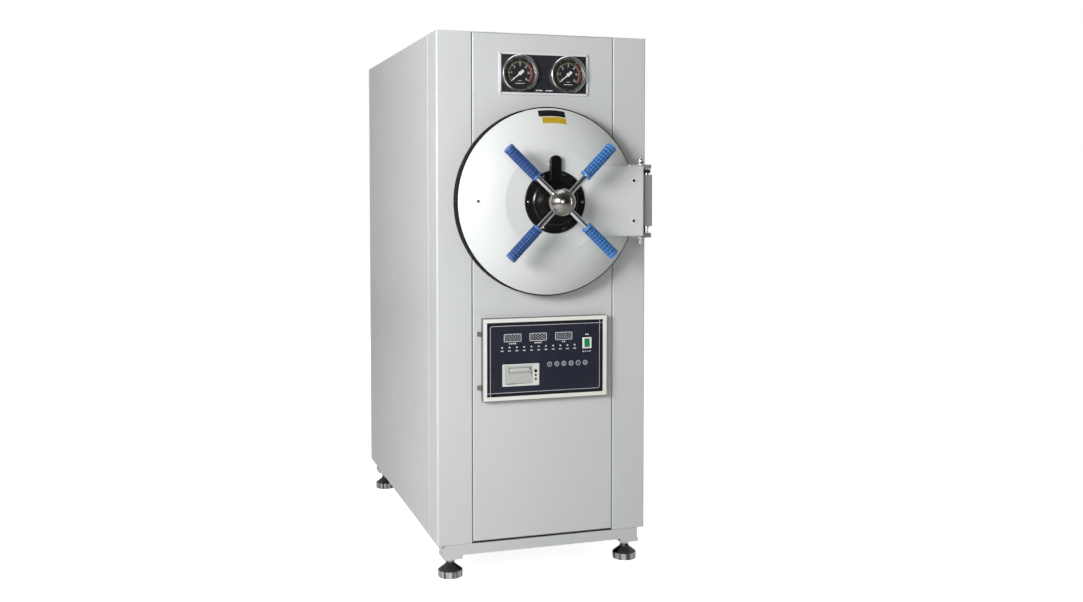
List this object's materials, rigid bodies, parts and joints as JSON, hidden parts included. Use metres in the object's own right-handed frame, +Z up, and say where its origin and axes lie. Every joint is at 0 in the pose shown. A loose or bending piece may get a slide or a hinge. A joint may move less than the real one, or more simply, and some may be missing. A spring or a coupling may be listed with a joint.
{
  "type": "steam steriliser",
  "caption": "Floor-standing horizontal steam steriliser: round hinged door with spoked handwheel, gauge panel, swing-out control panel and levelling feet.",
  "frame": {"origin": "on the floor under the middle of the whole depth and width", "axes": "+X to the right seen from the front, +Y to the back, +Z up"},
  "size_m": [0.67, 1.424, 1.65],
  "materials": {
    "cabinet_paint": "semi-gloss light grey powder coat",
    "frame_paint": "light grey powder coat",
    "cover_paint": "smooth white-grey gloss enamel",
    "black_enamel": "glossy black enamel",
    "stainless": "brushed stainless steel",
    "machined_steel": "machined steel, lightly oiled",
    "ball_steel": "polished, finely brushed warm stainless",
    "chrome": "polished chrome",
    "hinge_grey": "satin mid-grey paint",
    "blue_grip": "moulded blue plastic with a fine chequered pattern",
    "silicone": "translucent white silicone",
    "mineral_wool": "faced mineral wool blanket",
    "silver_trim": "satin anodised silver",
    "black_plate": "smooth black",
    "ivory_trim": "moulded off-white surround",
    "navy_face": "dark navy overlay, fine satin",
    "board_green": "circuit board lacquer",
    "cream_plastic": "cream-grey moulded plastic",
    "white_plastic": "white moulded plastic",
    "green_plastic": "translucent green",
    "needle_white": "white painted needle",
    "zinc": "zinc-plated sheet",
    "brass": "plain brass",
    "copper": "copper tube"
  },
  "bodies": {
    "cabinet": {"cabinet_frame": "frame_paint", "side_panel_left": "cabinet_paint", "side_panel_right": "cabinet_paint", "front_post_left": "cabinet_paint", "front_post_right": "cabinet_paint", "front_panels": "cabinet_paint", "rear_panel": "cabinet_paint", "top_cover": "cabinet_paint", "hinge_bracket": "hinge_grey", "chamber_vessel": "stainless", "chamber_flange": "machined_steel", "door_seal": "silicone", "insulation": "mineral_wool", "gauge_frame": "silver_trim", "gauge_panel": "black_plate", "gauge_cases": "chrome", "panel_hinges": "stainless", "control_box": "zinc", "rear_fittings": "brass", "steam_generator": "stainless", "pipework": "copper"},
    "rack": {"loading_rack": "stainless"},
    "door": {"door_body": "black_enamel", "door_liner": "stainless", "door_cover": "cover_paint", "door_arm": "hinge_grey", "hub_housing": "black_enamel", "door_fasteners": "chrome", "hinge_pin": "machined_steel"},
    "interlock": {"interlock_pin": "machined_steel"},
    "handwheel": {"wheel_ball": "ball_steel", "wheel_spokes": "chrome", "wheel_grips": "blue_grip", "wheel_spindle": "machined_steel", "cam_disc": "machined_steel"},
    "panel_door": {"panel_frame": "ivory_trim", "panel_face": "navy_face", "display_board": "board_green", "switch_body": "white_plastic", "printer_body": "cream_plastic"},
    "rocker": {"switch_rocker": "green_plastic"},
    "paper_flap": {"printer_cover": "cream_plastic"},
    "left_needle": {"needle_left": "needle_white"},
    "right_needle": {"needle_right": "needle_white"},
    "bar_1": {"lock_bar_1": "machined_steel"},
    "bar_2": {"lock_bar_2": "machined_steel"},
    "bar_3": {"lock_bar_3": "machined_steel"},
    "bar_4": {"lock_bar_4": "machined_steel"},
    "bar_5": {"lock_bar_5": "machined_steel"},
    "bar_6": {"lock_bar_6": "machined_steel"},
    "foot_front_left": {"foot_front_left": "stainless"},
    "foot_front_right": {"foot_front_right": "stainless"},
    "foot_rear_left": {"foot_rear_left": "stainless"},
    "foot_rear_right": {"foot_rear_right": "stainless"},
    "key_1": {"button_1": "white_plastic"},
    "key_2": {"button_2": "white_plastic"},
    "key_3": {"button_3": "white_plastic"},
    "key_4": {"button_4": "white_plastic"},
    "key_5": {"button_5": "white_plastic"},
    "key_6": {"button_6": "white_plastic"}
  },
  "joints": [
    {"name": "door_swing", "type": "hinge", "parent": "cabinet", "child": "door", "pos_m": [0.3095, -0.568, 1.142], "axis": [0, 0, 1], "range_deg": [0, 120]},
    {"name": "wheel_turn", "type": "hinge", "parent": "door", "child": "handwheel", "pos_m": [0, -0.6705, 1.142], "axis": [0, 1, 0], "range_deg": [0, 90]},
    {"name": "interlock_throw", "type": "slide", "parent": "door", "child": "interlock", "axis": [0, 1, 0], "range_m": [0, 0.006], "stiffness_N_per_m": 120},
    {"name": "rack_slide", "type": "slide", "parent": "cabinet", "child": "rack", "axis": [0, -1, 0], "range_m": [0, 0.03]},
    {"name": "bar_1_throw", "type": "slide", "parent": "door", "child": "bar_1", "axis": [1, 0, 0], "range_m": [0, 0.022]},
    {"name": "bar_2_throw", "type": "slide", "parent": "door", "child": "bar_2", "axis": [0.5, 0, 0.866], "range_m": [0, 0.022]},
    {"name": "bar_3_throw", "type": "slide", "parent": "door", "child": "bar_3", "axis": [-0.5, 0, 0.866], "range_m": [0, 0.022]},
    {"name": "bar_4_throw", "type": "slide", "parent": "door", "child": "bar_4", "axis": [-1, 0, 0], "range_m": [0, 0.022]},
    {"name": "bar_5_throw", "type": "slide", "parent": "door", "child": "bar_5", "axis": [-0.5, 0, -0.866], "range_m": [0, 0.022]},
    {"name": "bar_6_throw", "type": "slide", "parent": "door", "child": "bar_6", "axis": [0.5, 0, -0.866], "range_m": [0, 0.022]},
    {"name": "foot_front_left_turn", "type": "hinge", "parent": "cabinet", "child": "foot_front_left", "pos_m": [-0.286, -0.454, 0.06], "axis": [0, 0, 1], "continuous": true},
    {"name": "foot_front_right_turn", "type": "hinge", "parent": "cabinet", "child": "foot_front_right", "pos_m": [0.286, -0.454, 0.06], "axis": [0, 0, 1], "continuous": true},
    {"name": "foot_rear_left_turn", "type": "hinge", "parent": "cabinet", "child": "foot_rear_left", "pos_m": [-0.286, 0.644, 0.06], "axis": [0, 0, 1], "continuous": true},
    {"name": "foot_rear_right_turn", "type": "hinge", "parent": "cabinet", "child": "foot_rear_right", "pos_m": [0.286, 0.644, 0.06], "axis": [0, 0, 1], "continuous": true},
    {"name": "left_needle_sweep", "type": "hinge", "parent": "cabinet", "child": "left_needle", "pos_m": [-0.077, -0.506, 1.529], "axis": [0, 1, 0], "range_deg": [0, 260], "stiffness_Nm_per_rad": 0.01},
    {"name": "right_needle_sweep", "type": "hinge", "parent": "cabinet", "child": "right_needle", "pos_m": [0.077, -0.506, 1.529], "axis": [0, 1, 0], "range_deg": [0, 260], "stiffness_Nm_per_rad": 0.01},
    {"name": "panel_swing", "type": "hinge", "parent": "cabinet", "child": "panel_door", "pos_m": [-0.2035, -0.51, 0.662], "axis": [0, 0, -1], "range_deg": [0, 100]},
    {"name": "switch_rock", "type": "hinge", "parent": "panel_door", "child": "rocker", "pos_m": [0.134, -0.512, 0.7055], "axis": [1, 0, 0], "range_deg": [0, 16]},
    {"name": "paper_flap_open", "type": "hinge", "parent": "panel_door", "child": "paper_flap", "pos_m": [-0.087, -0.52125, 0.59225], "axis": [1, 0, 0], "range_deg": [0, 100]},
    {"name": "key_1_press", "type": "slide", "parent": "panel_door", "child": "key_1", "axis": [0, 1, 0], "range_m": [0, 0.001], "stiffness_N_per_m": 600},
    {"name": "key_2_press", "type": "slide", "parent": "panel_door", "child": "key_2", "axis": [0, 1, 0], "range_m": [0, 0.001], "stiffness_N_per_m": 600},
    {"name": "key_3_press", "type": "slide", "parent": "panel_door", "child": "key_3", "axis": [0, 1, 0], "range_m": [0, 0.001], "stiffness_N_per_m": 600},
    {"name": "key_4_press", "type": "slide", "parent": "panel_door", "child": "key_4", "axis": [0, 1, 0], "range_m": [0, 0.001], "stiffness_N_per_m": 600},
    {"name": "key_5_press", "type": "slide", "parent": "panel_door", "child": "key_5", "axis": [0, 1, 0], "range_m": [0, 0.001], "stiffness_N_per_m": 600},
    {"name": "key_6_press", "type": "slide", "parent": "panel_door", "child": "key_6", "axis": [0, 1, 0], "range_m": [0, 0.001], "stiffness_N_per_m": 600}
  ],
  "couplings": [
    {"joint": "bar_1_throw", "follows": "wheel_turn", "m_per_rad": 0.014006},
    {"joint": "bar_2_throw", "follows": "wheel_turn", "m_per_rad": 0.014006},
    {"joint": "bar_3_throw", "follows": "wheel_turn", "m_per_rad": 0.014006},
    {"joint": "bar_4_throw", "follows": "wheel_turn", "m_per_rad": 0.014006},
    {"joint": "bar_5_throw", "follows": "wheel_turn", "m_per_rad": 0.014006},
    {"joint": "bar_6_throw", "follows": "wheel_turn", "m_per_rad": 0.014006}
  ]
}
